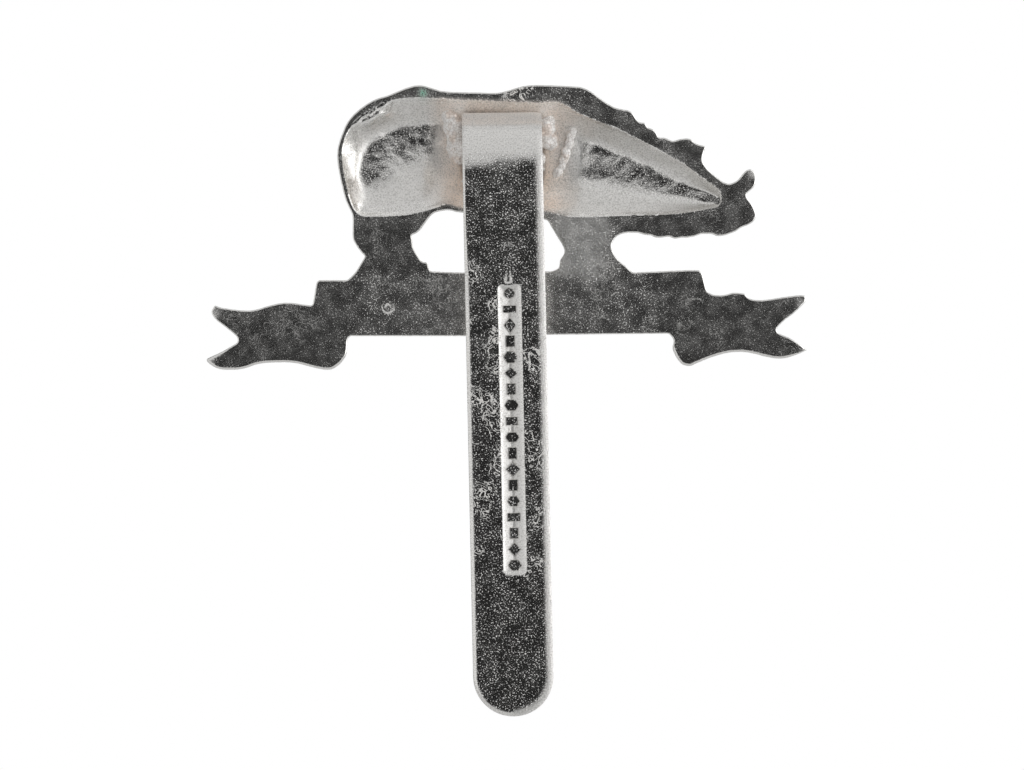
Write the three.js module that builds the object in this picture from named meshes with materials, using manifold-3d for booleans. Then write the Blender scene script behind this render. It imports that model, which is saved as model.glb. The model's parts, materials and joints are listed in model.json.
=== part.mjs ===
// A die-struck cap badge with a brazed slider: a horned beast stands on a scroll with swallow-tailed ends.
// Millimetres, +Z up as worn. The badge faces -Y; its flat back is the plane y = 0, and the slider is on +Y.
import * as THREE from 'three';
import { mergeVertices } from 'three/addons/utils/BufferGeometryUtils.js';
import Module from 'manifold-3d';

// Driving dimensions, in millimetres.
const PLATE_THICKNESS = 0.9;
const BODY_WALL = 0.8;
const RIM_WALL = 0.8;
const SLIDER_WIDTH = 6.35;
const SLIDER_THICKNESS = 0.85;
const BEND_RADIUS = 3.7;
const BEND_CENTRE = [0.2, 1.9, 11.7];
const BLADE_LENGTH = 44.3;
const FOOT_LENGTH = 2.8;
const SLIDER_TILT = THREE.MathUtils.degToRad(1.2);
const PANEL = { top: -10.1, bottom: -33.1, width: 1.7, depth: 0.25 };

// How finely curves are divided.
const CURVE_STEPS = 3;
const ARC_STEPS = 14;
const PILLOW_LAYERS = 7;
const PILLOW_ROUNDNESS = 2.4;
const PILLOW_REACH = 0.92;

// A cutter starts this far outside the face that it cuts.
const CUT_MARGIN = 1;

// The badge's outline, seen from behind with +X to the left: each run is a smooth curve or straight lines.
const OUTLINE_START = [13.1, 9.7];
const OUTLINE = [
  // rump, back and shoulder hump
  { smooth: true, points: [
    [13.4, 11.3], [13.4, 12.5], [13.0, 13.8], [12.5, 14.8], [11.6, 15.7], [10.5, 16.4], [9.3, 16.8],
    [7.0, 17.6], [4.9, 17.1], [2.0, 17.0], [0.4, 17.0], [-1.4, 17.5], [-2.8, 17.6], [-5.3, 17.5],
    [-6.2, 17.4], [-7.0, 17.0], [-7.8, 16.4], [-8.8, 15.8], [-9.8, 15.6],
  ] },
  // ragged skin folds on the neck
  { smooth: false, points: [
    [-10.2, 15.4], [-10.5, 14.9], [-10.8, 14.6], [-11.2, 14.6], [-11.4, 14.2], [-11.8, 14.1],
    [-12.1, 13.8], [-12.3, 13.4], [-12.8, 13.4], [-13.4, 13.1],
  ] },
  // ears
  { smooth: true, points: [[-14.1, 13.3], [-14.8, 13.3], [-15.3, 12.9], [-16.1, 12.7]] },
  // brow and the inner side of the horn
  { smooth: true, points: [
    [-15.8, 11.6], [-16.3, 10.8], [-17.0, 10.2], [-17.8, 9.7], [-18.6, 10.0], [-19.2, 10.7], [-19.6, 10.9],
  ] },
  // outer side of the horn and the snout
  { smooth: true, points: [
    [-20.0, 10.6], [-20.1, 10.1], [-19.9, 9.4], [-19.3, 8.8], [-19.8, 8.0], [-20.1, 7.2], [-19.8, 6.6],
    [-18.9, 6.2],
  ] },
  // ragged jaw
  { smooth: false, points: [
    [-18.5, 5.9], [-17.7, 5.6], [-17.0, 5.5], [-16.6, 5.7], [-15.7, 5.7], [-15.2, 5.5], [-14.6, 5.4],
    [-14.1, 5.4], [-13.6, 5.3], [-13.1, 5.5], [-12.6, 5.4], [-12.0, 5.4], [-11.7, 5.6], [-11.3, 5.6],
    [-10.6, 5.8], [-9.9, 5.8],
  ] },
  // throat, and the front of the foreleg down to the scroll
  { smooth: true, points: [[-9.1, 5.6], [-8.6, 5.0], [-8.6, 4.4], [-9.0, 3.7], [-9.8, 3.0], [-10.2, 2.6]] },
  // end of the scroll's upper edge
  { smooth: false, points: [[-14.6, 2.8], [-15.5, 2.8]] },
  { smooth: true, points: [[-15.8, 2.5], [-16.0, 1.7], [-16.2, 1.1], [-16.7, 0.8]] },
  // ribbon end under the head: upper edge, cleft and lower edge
  { smooth: true, points: [[-17.5, 0.8], [-18.3, 1.0], [-19.2, 0.9]] },
  { smooth: true, points: [[-19.6, 0.5], [-20.6, 0.4], [-22.0, 0.6], [-23.7, 0.8], [-24.1, 0.6], [-24.0, 0.2]] },
  { smooth: true, points: [[-23.2, -0.6], [-22.4, -1.2], [-21.8, -1.8]] },
  { smooth: true, points: [[-21.8, -2.2], [-22.9, -2.7], [-24.2, -3.6]] },
  { smooth: true, points: [
    [-23.3, -4.0], [-22.2, -4.3], [-21.1, -4.2], [-19.4, -3.8], [-18.1, -3.8], [-16.8, -4.1], [-15.5, -4.6],
    [-14.8, -4.9], [-14.1, -4.7], [-13.6, -4.0], [-13.4, -3.4], [-13.5, -2.8], [-13.1, -2.3],
  ] },
  // lower edge of the scroll
  { smooth: false, points: [[-3.3, -2.4], [3.4, -2.5], [12.4, -2.5]] },
  // ribbon end under the rump: lower edge, cleft and upper edge
  { smooth: true, points: [
    [12.6, -2.8], [12.7, -4.0], [13.4, -4.9], [14.4, -5.2], [16.6, -4.7], [17.8, -4.6], [19.6, -4.7],
    [20.9, -5.1], [22.0, -5.2], [23.0, -5.1], [23.8, -4.6], [23.9, -4.3],
  ] },
  { smooth: true, points: [[22.6, -3.7], [21.4, -3.0]] },
  { smooth: true, points: [[21.5, -2.5], [22.6, -1.6], [23.1, -1.2], [23.5, -0.6], [23.2, 0.0]] },
  { smooth: true, points: [
    [22.7, -0.2], [21.3, -0.4], [20.1, -0.4], [18.7, 0.0], [17.4, 0.2], [15.8, 0.0], [15.4, 0.0],
  ] },
  // step of the scroll and its upper edge
  { smooth: false, points: [[15.2, 1.2], [15.1, 1.8], [14.9, 2.0], [12.6, 2.0]] },
  // back of the hind leg
  { smooth: true, points: [[12.0, 2.6], [11.5, 3.4], [11.2, 3.9]] },
  { smooth: true, points: [
    [11.5, 4.2], [12.0, 4.9], [12.2, 5.5], [12.2, 7.0], [12.4, 7.6], [12.8, 8.5], [13.1, 9.7],
  ] },
];

// The gap between the legs, which goes right through.
const LEG_GAP_START = [5.3, 7.5];
const LEG_GAP = [
  { smooth: true, points: [[5.8, 7.3], [6.3, 6.7], [6.9, 5.9], [7.5, 5.6]] },
  { smooth: true, points: [[7.4, 5.1], [7.3, 4.5], [6.7, 3.5]] },
  { smooth: false, points: [[6.2, 3.4], [6.0, 2.7], [3.4, 2.6], [-3.8, 2.7]] },
  { smooth: true, points: [[-4.3, 3.0], [-4.4, 3.6], [-4.7, 4.1], [-4.7, 4.6], [-4.1, 5.6], [-3.4, 6.8]] },
  { smooth: true, points: [[-2.9, 6.9], [-1.8, 7.2], [0.8, 7.3], [3.5, 7.4], [4.5, 7.6], [5.3, 7.5]] },
];

// The rim of the hollow that striking the body leaves in the back, as one smooth loop.
const HOLLOW = [
  [13.0, 11.3], [13.0, 12.5], [12.7, 13.6], [12.0, 14.7], [10.8, 15.6], [9.7, 16.2], [8.5, 16.5], [6.9, 16.6],
  [5.3, 16.5], [2.2, 16.4], [-2.8, 16.2], [-4.4, 16.2], [-5.8, 15.4], [-7.7, 14.6], [-9.0, 14.1],
  [-10.4, 13.4], [-11.8, 12.7], [-13.4, 11.8], [-14.6, 11.1], [-15.6, 10.3], [-16.5, 9.7], [-17.2, 9.1],
  [-17.3, 8.4], [-17.1, 7.9], [-16.4, 7.7], [-14.7, 7.4], [-12.4, 7.2], [-10.2, 7.2], [-7.7, 7.1],
  [-4.8, 7.1], [-3.4, 7.5], [0.4, 7.8], [3.5, 7.8], [4.6, 8.1], [5.3, 7.9], [6.9, 7.4], [8.1, 7.2],
  [10.1, 7.1], [11.6, 7.2], [12.2, 7.9], [12.6, 9.2],
];

// The hollow's deepest line from the rump to the head: x, z and the depth there.
const HOLLOW_RIDGE = [[9.6, 11.6, 2.8], [0, 11.4, 2.8], [-8, 11.3, 2.4], [-12.4, 10.2, 1.7], [-16.4, 8.6, 0.8]];

// Solidified braze metal beside the slider's foot: a centre, three radii and a turn about Y, in degrees.
const BEADS = {
  braze_bead_rump_side: { centre: [4.15, -1.4, 13.6], radii: [0.55, 0.9, 1.6], turn: 0 },
  braze_bead_head_side: { centre: [-3.65, -1.4, 13.9], radii: [0.5, 0.9, 1.3], turn: 0 },
  braze_run: { centre: [-4.9, -1.9, 12.3], radii: [0.4, 0.55, 1.9], turn: 20 },
};
const BRAZE_PAD = { size: [5.4, 0.45, 2.6], centre: [0.2, -2.3, 10.9] };

const nickel = { color: 0xb9b6b1, roughness: 0.32, metalness: 1 };
const braze = { color: 0xc3ab98, roughness: 0.5, metalness: 1 };

const wasm = await Module();
wasm.setup();

// A closed geometry as a manifold solid. Only positions count, so shared vertices are merged first.
function toSolid(geometry) {
  const bare = geometry.clone();
  bare.deleteAttribute('normal');
  bare.deleteAttribute('uv');
  const merged = mergeVertices(bare, 1e-4);
  return new wasm.Manifold(new wasm.Mesh({
    numProp: 3,
    vertProperties: merged.attributes.position.array,
    triVerts: new Uint32Array(merged.index.array),
  }));
}

// A manifold solid as a geometry with flat faces.
function toGeometry(solid) {
  const mesh = solid.getMesh();
  const geometry = new THREE.BufferGeometry();
  geometry.setAttribute('position', new THREE.BufferAttribute(Float32Array.from(mesh.vertProperties), 3));
  geometry.setIndex(new THREE.BufferAttribute(Uint32Array.from(mesh.triVerts), 1));
  const flat = geometry.toNonIndexed();
  flat.computeVertexNormals();
  return flat;
}

// A drawing in x and z becomes a solid between two values of y.
function extrudeAlongY(shape, yFront, yBack) {
  const geometry = new THREE.ExtrudeGeometry(shape, {
    depth: yBack - yFront,
    bevelEnabled: false,
    curveSegments: CURVE_STEPS,
  });
  geometry.rotateX(Math.PI / 2);
  geometry.translate(0, yBack, 0);
  return toSolid(geometry);
}

function drawRuns(path, start, runs) {
  path.moveTo(...start);
  for (const run of runs) {
    if (run.smooth) path.splineThru(run.points.map(([x, z]) => new THREE.Vector2(x, z)));
    else run.points.forEach(([x, z]) => path.lineTo(x, z));
  }
  return path;
}

// The nearest point of the hollow's deepest line to a point of the rim, with the depth there.
function nearestOnRidge(x, z) {
  let best = { distance: Infinity };
  for (let i = 0; i + 1 < HOLLOW_RIDGE.length; i++) {
    const [ax, az, aDepth] = HOLLOW_RIDGE[i];
    const [bx, bz, bDepth] = HOLLOW_RIDGE[i + 1];
    const along = ((x - ax) * (bx - ax) + (z - az) * (bz - az)) / ((bx - ax) ** 2 + (bz - az) ** 2);
    const t = THREE.MathUtils.clamp(along, 0, 1);
    const foot = { x: ax + t * (bx - ax), z: az + t * (bz - az), depth: aDepth + t * (bDepth - aDepth) };
    const distance = Math.hypot(x - foot.x, z - foot.z);
    if (distance < best.distance) best = { ...foot, distance };
  }
  return best;
}

// A closed pillow on the hollow's rim: loops draw in to the deepest line while they sink towards -Y.
// grow widens it on every side and deepen adds to its depth. A straight neck ends at yRim, where it starts to sink.
function ridgePillow(grow, deepen, yRim, neck) {
  const loop = new THREE.CatmullRomCurve3(HOLLOW.map(([x, z]) => new THREE.Vector3(x, 0, z)), true);
  const rim = loop.getPoints(HOLLOW.length * CURVE_STEPS).slice(0, -1);
  const count = rim.length;
  const positions = [];
  for (let layer = -1; layer <= PILLOW_LAYERS; layer++) {
    const drawnIn = (Math.max(layer, 0) / PILLOW_LAYERS) * PILLOW_REACH;
    const sunk = (1 - (1 - drawnIn) ** PILLOW_ROUNDNESS) ** (1 / PILLOW_ROUNDNESS);
    for (const p of rim) {
      const ridge = nearestOnRidge(p.x, p.z);
      const spread = (1 - drawnIn) * (1 + grow / ridge.distance);
      const y = layer < 0 ? yRim + neck : yRim - sunk * (ridge.depth + deepen + yRim);
      positions.push(ridge.x + (p.x - ridge.x) * spread, y, ridge.z + (p.z - ridge.z) * spread);
    }
  }
  const ringStart = (layer) => layer * count;
  const flatPoints = (layer) => Array.from({ length: count }, (_, i) => {
    const at = 3 * (ringStart(layer) + i);
    return new THREE.Vector2(positions[at], positions[at + 2]);
  });
  const lastRing = PILLOW_LAYERS + 1;
  const index = [];
  for (const [a, b, c] of THREE.ShapeUtils.triangulateShape(flatPoints(0), [])) {
    index.push(c, b, a);
  }
  for (const [a, b, c] of THREE.ShapeUtils.triangulateShape(flatPoints(lastRing), [])) {
    index.push(ringStart(lastRing) + a, ringStart(lastRing) + b, ringStart(lastRing) + c);
  }
  for (let layer = 0; layer < lastRing; layer++) {
    for (let i = 0; i < count; i++) {
      const next = (i + 1) % count;
      const [a, b] = [ringStart(layer) + i, ringStart(layer) + next];
      const [c, d] = [a + count, b + count];
      index.push(a, b, c, b, d, c);
    }
  }
  const geometry = new THREE.BufferGeometry();
  geometry.setAttribute('position', new THREE.Float32BufferAttribute(positions, 3));
  geometry.setIndex(index);
  return toSolid(geometry);
}

// The struck sheet: a flat outline with the body pushed out in front and hollow behind.
function makePlate() {
  const outline = drawRuns(new THREE.Shape(), OUTLINE_START, OUTLINE);
  const sheetShape = outline.clone();
  sheetShape.holes.push(drawRuns(new THREE.Path(), LEG_GAP_START, LEG_GAP));
  const sheet = extrudeAlongY(sheetShape, -PLATE_THICKNESS, 0);
  const deepest = Math.max(...HOLLOW_RIDGE.map(([, , depth]) => depth));
  const inside = extrudeAlongY(sheetShape, -(deepest + BODY_WALL + CUT_MARGIN), 0);
  const body = ridgePillow(RIM_WALL, BODY_WALL, -PLATE_THICKNESS / 2, PLATE_THICKNESS / 4).intersect(inside);
  return sheet.add(body).subtract(ridgePillow(0, 0, 0, CUT_MARGIN));
}

// The slider's side view as a hairpin, in its own frame: the bend's centre is the origin, u is +Y and v is +Z.
function hairpinProfile() {
  const inner = BEND_RADIUS - SLIDER_THICKNESS;
  const profile = new THREE.Shape();
  profile.moveTo(-BEND_RADIUS, -FOOT_LENGTH);
  profile.lineTo(-inner, -FOOT_LENGTH);
  profile.lineTo(-inner, 0);
  profile.absarc(0, 0, inner, Math.PI, 0, true);
  profile.lineTo(inner, -BLADE_LENGTH);
  profile.lineTo(BEND_RADIUS, -BLADE_LENGTH);
  profile.lineTo(BEND_RADIUS, 0);
  profile.absarc(0, 0, BEND_RADIUS, 0, Math.PI, false);
  return profile;
}

// A strip's front view with a round lower end, and optionally a round upper end too.
function stripOutline(top, bottom, width, roundTop) {
  const half = width / 2;
  const shape = new THREE.Shape();
  shape.moveTo(-half, bottom + half);
  shape.absarc(0, bottom + half, half, Math.PI, 2 * Math.PI, false);
  if (roundTop) {
    shape.absarc(0, top - half, half, 0, Math.PI, false);
  } else {
    shape.lineTo(half, top);
    shape.lineTo(-half, top);
  }
  return shape;
}

function extrudeRound(shape, depth) {
  return new THREE.ExtrudeGeometry(shape, { depth, bevelEnabled: false, curveSegments: ARC_STEPS });
}

// The slider: one strip folded over at the top, with a sunk panel on its outer face.
function makeSlider() {
  const side = extrudeRound(hairpinProfile(), SLIDER_WIDTH);
  side.translate(0, 0, -SLIDER_WIDTH / 2);
  side.applyMatrix4(new THREE.Matrix4().makeBasis(
    new THREE.Vector3(0, 1, 0),
    new THREE.Vector3(0, 0, 1),
    new THREE.Vector3(1, 0, 0),
  ));
  const front = extrudeRound(
    stripOutline(BEND_RADIUS + CUT_MARGIN, -BLADE_LENGTH, SLIDER_WIDTH, false),
    2 * (BEND_RADIUS + CUT_MARGIN),
  );
  front.rotateX(Math.PI / 2);
  front.translate(0, BEND_RADIUS + CUT_MARGIN, 0);
  const panel = extrudeRound(stripOutline(PANEL.top, PANEL.bottom, PANEL.width, true), PANEL.depth + CUT_MARGIN);
  panel.rotateX(Math.PI / 2);
  panel.translate(0, BEND_RADIUS + CUT_MARGIN, 0);
  return toSolid(side).intersect(toSolid(front)).subtract(toSolid(panel));
}

function makeMesh(name, geometry, finish) {
  const mesh = new THREE.Mesh(geometry, new THREE.MeshStandardMaterial(finish));
  mesh.name = name;
  return mesh;
}

const badge = new THREE.Group();
badge.name = 'cap_badge';
badge.add(makeMesh('badge_plate', toGeometry(makePlate()), nickel));

const slider = makeMesh('slider', toGeometry(makeSlider()), nickel);
slider.position.set(...BEND_CENTRE);
slider.rotation.y = SLIDER_TILT;
badge.add(slider);

for (const [name, bead] of Object.entries(BEADS)) {
  const mesh = makeMesh(name, new THREE.SphereGeometry(1, 16, 10).scale(...bead.radii), braze);
  mesh.position.set(...bead.centre);
  mesh.rotation.y = THREE.MathUtils.degToRad(bead.turn);
  badge.add(mesh);
}

const pad = makeMesh('braze_pad', new THREE.BoxGeometry(...BRAZE_PAD.size), braze);
pad.position.set(...BRAZE_PAD.centre);
badge.add(pad);

export default badge;
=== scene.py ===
# %% [markdown]
# # Dressing a die-struck cap badge
# The badge is one struck and plated sheet with a folded strip, the slider, brazed into its hollow back.
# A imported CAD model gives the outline, the sizes and the spring of the slider. It is loaded as a fixed frame,
# and every detailed piece below is built around it, in the same place and at the same size.

# %% Load the frame
import json
import math

import bmesh
import bpy
import numpy as np
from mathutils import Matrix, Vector, kdtree, noise
from mathutils.geometry import delaunay_2d_cdt


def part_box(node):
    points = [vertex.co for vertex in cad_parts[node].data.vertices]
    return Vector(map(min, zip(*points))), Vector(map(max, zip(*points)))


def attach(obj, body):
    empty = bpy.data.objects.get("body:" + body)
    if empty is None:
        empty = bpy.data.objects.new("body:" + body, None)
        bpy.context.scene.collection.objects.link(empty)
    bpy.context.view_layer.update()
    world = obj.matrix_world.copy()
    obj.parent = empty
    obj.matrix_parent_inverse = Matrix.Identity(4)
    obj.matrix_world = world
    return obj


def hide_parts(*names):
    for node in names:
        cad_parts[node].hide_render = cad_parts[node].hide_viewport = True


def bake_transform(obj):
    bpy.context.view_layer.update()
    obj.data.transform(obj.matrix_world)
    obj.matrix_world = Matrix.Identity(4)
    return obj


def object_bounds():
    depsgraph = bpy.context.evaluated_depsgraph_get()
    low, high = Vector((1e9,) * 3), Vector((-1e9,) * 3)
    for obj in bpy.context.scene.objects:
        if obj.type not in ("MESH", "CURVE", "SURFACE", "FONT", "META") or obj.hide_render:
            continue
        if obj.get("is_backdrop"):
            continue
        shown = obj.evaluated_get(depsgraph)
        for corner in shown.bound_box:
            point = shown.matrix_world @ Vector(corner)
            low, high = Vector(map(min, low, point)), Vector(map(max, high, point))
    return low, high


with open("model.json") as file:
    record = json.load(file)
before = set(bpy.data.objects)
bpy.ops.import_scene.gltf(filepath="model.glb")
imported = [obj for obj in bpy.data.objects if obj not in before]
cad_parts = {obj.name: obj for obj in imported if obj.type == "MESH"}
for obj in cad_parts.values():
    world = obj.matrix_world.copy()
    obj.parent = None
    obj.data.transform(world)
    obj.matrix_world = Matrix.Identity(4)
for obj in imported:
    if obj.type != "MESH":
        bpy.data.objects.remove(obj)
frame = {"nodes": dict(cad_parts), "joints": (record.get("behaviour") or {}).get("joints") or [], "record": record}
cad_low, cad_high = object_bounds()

MM = 0.001
print("CAD box in mm:", [round(v / MM, 2) for v in (*cad_low, *cad_high)])

# %% [markdown]
# ## Places that the frame gives
# The badge faces -Y and its flat back is the plane y = 0. The slider turns about the joint's point, which is
# also the centre of its bend, so its bend radius, thickness, tilt and length follow from the joint, the boxes
# and the slider's inner mount. Working them out here keeps the looks tied to the CAD: if it is packed again
# with another size, this script follows it. All lengths from here on are in millimetres until a mesh is made.

# %% Slider sizes from the frame
joint = frame["joints"][0]
mounts = {mount["name"]: mount for mount in frame["record"]["mounts"]}
slider_low, slider_high = (np.array(corner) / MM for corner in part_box("slider"))
BEND_CENTRE = np.array(joint["pos_m"]) / MM
TILT = math.atan2(-joint["axis"][2], joint["axis"][0])
BEND_RADIUS = slider_high[1] - BEND_CENTRE[1]
STRIP_THICKNESS = slider_high[1] - mounts["slider_inner_face"]["pos_m"][1] / MM
STRIP_HALF = 3.175
FOOT_LENGTH = 2.8
BLADE_LENGTH = STRIP_HALF + (BEND_CENTRE[2] - STRIP_HALF - slider_low[2]) / math.cos(TILT)
MIDDLE_RADIUS = BEND_RADIUS - STRIP_THICKNESS / 2
BEND_LENGTH = math.pi * MIDDLE_RADIUS
print(f"bend radius {BEND_RADIUS:.2f}, strip {STRIP_THICKNESS:.2f}, blade {BLADE_LENGTH:.2f} mm")

# %% [markdown]
# ## Small helpers
# Relief is a height for each point of a flat drawing, so most helpers take whole arrays of x and z and give
# back an array: a smooth step, a dome, the distance to a curve. The noise functions come from mathutils and
# always give the same value at the same point, so every run makes the same badge.

# %% Shaping helpers
def smooth(start, end, value):
    """0 before start, 1 after end, and an S-curve between them. start may be the larger one."""
    t = np.clip((value - start) / (end - start), 0, 1)
    return t * t * (3 - 2 * t)


def grain(x, z, size, seed=0, octaves=3):
    """Fractal noise of about -1 to 1 with features of the given size."""
    found = [
        noise.fractal(Vector((a / size, b / size, seed)), 1.0, 2.0, octaves)
        for a, b in zip(x, z)
    ]
    return np.array(found)


def edge_drop(distance, width, depth):
    """How far a rounded edge falls below its face: depth at the edge, nothing further in than width."""
    t = 1 - np.clip(distance / width, 0, 1)
    return depth * (1 - np.sqrt(1 - t * t))


def smooth_curve(points, steps=8):
    """A Catmull-Rom curve through a few points."""
    knots = np.array([points[0], *points, points[-1]], float)
    made = []
    for a, b, c, d in zip(knots, knots[1:], knots[2:], knots[3:]):
        for t in np.arange(steps) / steps:
            made.append(0.5 * (
                2 * b + (c - a) * t + (2 * a - 5 * b + 4 * c - d) * t**2 + (3 * b - a - 3 * c + d) * t**3
            ))
    return np.array([*made, knots[-1]])


def along_curve(x, z, curve):
    """For each point: its distance to the open curve, and how far along the curve it is, from 0 to 1."""
    here = np.stack([x, z], 1)
    nearest = np.full(len(here), np.inf)
    share = np.zeros(len(here))
    for i, (start, end) in enumerate(zip(curve, curve[1:])):
        way = end - start
        t = np.clip(((here - start) @ way) / max(way @ way, 1e-12), 0, 1)
        gap = np.linalg.norm(here - start - t[:, None] * way, axis=1)
        closer = gap < nearest
        nearest[closer] = gap[closer]
        share[closer] = (i + t[closer]) / (len(curve) - 1)
    return nearest, share


def distance_to_loop(points, loop):
    """Distance from each point to a finely divided closed loop."""
    tree = kdtree.KDTree(len(loop))
    for i, (x, z) in enumerate(loop):
        tree.insert((x, z, 0), i)
    tree.balance()
    nearest = np.array([tree.find((x, z, 0))[1] for x, z in points])
    best = np.full(len(points), np.inf)
    for first in (nearest - 1, nearest):
        start = loop[first % len(loop)]
        way = loop[(first + 1) % len(loop)] - start
        t = np.clip(np.sum((points - start) * way, 1) / np.sum(way * way, 1), 0, 1)
        best = np.minimum(best, np.linalg.norm(points - start - t[:, None] * way, axis=1))
    return best


def inside(points, loop):
    """Which points lie inside a closed loop, by counting how often a line from each one crosses it."""
    x, z = points.T
    odd = np.zeros(len(points), bool)
    for (ax, az), (bx, bz) in zip(loop, np.roll(loop, -1, axis=0)):
        rows = (az > z) != (bz > z)
        odd[rows] ^= x[rows] < ax + (z[rows] - az) * (bx - ax) / (bz - az)
    return odd


# %% Making a mesh object from millimetres
def make_piece(name, points, faces, material, sharp_angle=50):
    """A smooth-shaded object at the origin. Edges that fold by more than the angle stay sharp."""
    mesh = bpy.data.meshes.new(name)
    mesh.from_pydata((np.asarray(points) * MM).tolist(), [], faces)
    mesh.shade_smooth()
    mesh.set_sharp_from_angle(angle=math.radians(sharp_angle))
    mesh.materials.append(material)
    piece = bpy.data.objects.new(name, mesh)
    bpy.context.scene.collection.objects.link(piece)
    print(f"{name}: {len(mesh.polygons)} faces")
    return piece


def store(piece, name, values):
    """Keeps one number, or one vector, for each point of a mesh, for its material to read."""
    kind = "FLOAT" if np.ndim(values) == 1 else "FLOAT_VECTOR"
    field = "value" if kind == "FLOAT" else "vector"
    attribute = piece.data.attributes.new(name, kind, "POINT")
    attribute.data.foreach_set(field, np.ravel(values).astype(np.float32))


# %% [markdown]
# ## The finishes
# Everything is nickel plate over brass. A mirror-bright metal has almost no colour of its own: what it shows
# is the room. So the finish lives in the surface: a fine grain whose facets catch the light as white specks
# on a dark face, worm-like flow lines left by the plating, a satin bloom in the hollow where the tool rubbed,
# and a warm tint where the torch heated it. Each one is a bump or a roughness at its own scale, and the grain
# is also painted: a painted highlight whitens its specks and a painted shade greys its troughs. The meshes
# carry masks that mix them, as attributes, so each mask follows the relief exactly.

# %% Shader helpers
def new_material(name):
    material = bpy.data.materials.new(name)
    material.use_nodes = True
    material.node_tree.nodes.clear()
    return material, material.node_tree


def socket_of(sockets, key):
    """The socket with this identifier, or else the one with this name or number."""
    for socket in sockets:
        if socket.identifier == key:
            return socket
    return sockets[key]


def add(tree, kind, wires, **settings):
    """Adds a node. A wire may bring another node's output or a plain value for that input."""
    made = tree.nodes.new(kind)
    for name, value in settings.items():
        setattr(made, name, value)
    for key, value in wires.items():
        source = value.socket if isinstance(value, Value) else value
        if isinstance(source, bpy.types.NodeSocket):
            tree.links.new(source, socket_of(made.inputs, key))
        else:
            socket_of(made.inputs, key).default_value = source
    return made


class Value:
    """A number made by nodes. Adding or multiplying two of them adds the node that does so."""

    def __init__(self, tree, socket):
        self.tree = tree
        self.socket = socket

    def maths(self, operation, other=0.5):
        wires = {0: self, 1: other}
        return Value(self.tree, add(self.tree, "ShaderNodeMath", wires, operation=operation).outputs[0])

    def __add__(self, other):
        return self.maths("ADD", other)

    def __sub__(self, other):
        return self.maths("SUBTRACT", other)

    def __mul__(self, other):
        return self.maths("MULTIPLY", other)

    def larger(self, other):
        return self.maths("MAXIMUM", other)

    def ramp(self, low, high, to_low=0.0, to_high=1.0):
        """An S-curve from to_low, where the value is low, to to_high, where it is high."""
        wires = {"Value": self, "From Min": low, "From Max": high, "To Min": to_low, "To Max": to_high}
        made = add(self.tree, "ShaderNodeMapRange", wires, interpolation_type="SMOOTHSTEP")
        return Value(self.tree, made.outputs["Result"])


def noise_at(tree, place, scale, detail=2.0, roughness=0.55, distortion=0.0):
    wires = {"Vector": place, "Scale": scale, "Detail": detail}
    wires.update({"Roughness": roughness, "Distortion": distortion})
    return Value(tree, add(tree, "ShaderNodeTexNoise", wires).outputs["Fac"])


def mask(tree, name):
    return Value(tree, add(tree, "ShaderNodeAttribute", {}, attribute_name=name).outputs["Fac"])


def mix_colour(tree, share, first, second):
    wires = {"Factor_Float": share, "A_Color": first, "B_Color": second}
    return socket_of(add(tree, "ShaderNodeMix", wires, data_type="RGBA").outputs, "Result_Color")


def surface(tree, wires):
    """Ends a material with the standard surface shader."""
    shader = add(tree, "ShaderNodeBsdfPrincipled", wires)
    add(tree, "ShaderNodeOutputMaterial", {"Surface": shader.outputs[0]})


# %% Nickel plate
NICKEL = (0.80, 0.79, 0.77, 1)
HEAT_TINT = (0.95, 0.81, 0.70, 1)
# Painted shade: the grey that the troughs of the fine grain are darkened towards in the colour.
PAINTED_PIT_SHADE = (0.34, 0.33, 0.31, 1)
# Painted highlight: the white that the specks of the fine grain are brightened towards in the colour.
PAINTED_GLINT_WHITE = (0.97, 0.96, 0.95, 1)
MASKS = ("satin", "warm_tint", "worms", "verdigris", "coarse")
VERDIGRIS = (0.20, 0.50, 0.36, 1)
SPECKS_PER_METRE = 8400
SWELLS_PER_METRE = 800
FLOW_PER_METRE = 1250
PATCHES_PER_METRE = 330
NICKEL_RELIEF = 0.0000095


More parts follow.
